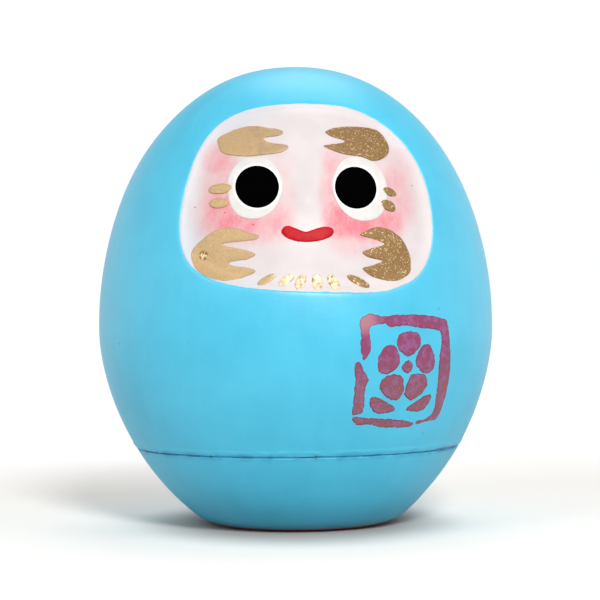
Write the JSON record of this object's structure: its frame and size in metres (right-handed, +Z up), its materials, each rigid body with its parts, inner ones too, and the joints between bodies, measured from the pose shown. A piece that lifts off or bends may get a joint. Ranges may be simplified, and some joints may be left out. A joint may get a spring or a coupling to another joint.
{
  "type": "daruma doll",
  "caption": "Round-bodied papier-mache wishing doll, light blue, with a painted face in a shallow recess, a square seal, and a clay weight as its foot.",
  "frame": {"origin": "middle of the flat foot that the doll stands on", "axes": "+Z up along the egg's axis; the face looks along -Y; the doll's own left is +X"},
  "size_m": [0.0776, 0.0776, 0.09],
  "materials": {
    "sky_blue_shell": "papier-mache under satin light blue paint",
    "blue_clay": "unfired clay under the same satin light blue paint",
    "glue": "dried animal glue, dark where the paint cracked over it",
    "white_ground": "smooth off-white ground coat, cheeks airbrushed pink",
    "eye_white": "matt pure white",
    "pupil_black": "black, satin",
    "gold": "gold pigment paint with bright flakes",
    "mouth_red": "flat coral red",
    "seal_ink": "dull purple-rose stamping ink, worn"
  },
  "bodies": {
    "root": {"body_shell": "sky_blue_shell", "base_weight": "blue_clay", "glue_ring": "glue", "face_ground": "white_ground", "eye_white_left": "eye_white", "eye_white_right": "eye_white", "pupil_left": "pupil_black", "pupil_right": "pupil_black", "brow_left": "gold", "brow_right": "gold", "temple_marks_left": "gold", "temple_marks_right": "gold", "whiskers_left": "gold", "whiskers_right": "gold", "chin_marks": "gold", "mouth": "mouth_red", "seal_frame": "seal_ink", "seal_blossom": "seal_ink", "seal_leaves": "seal_ink"}
  },
  "joints": []
}
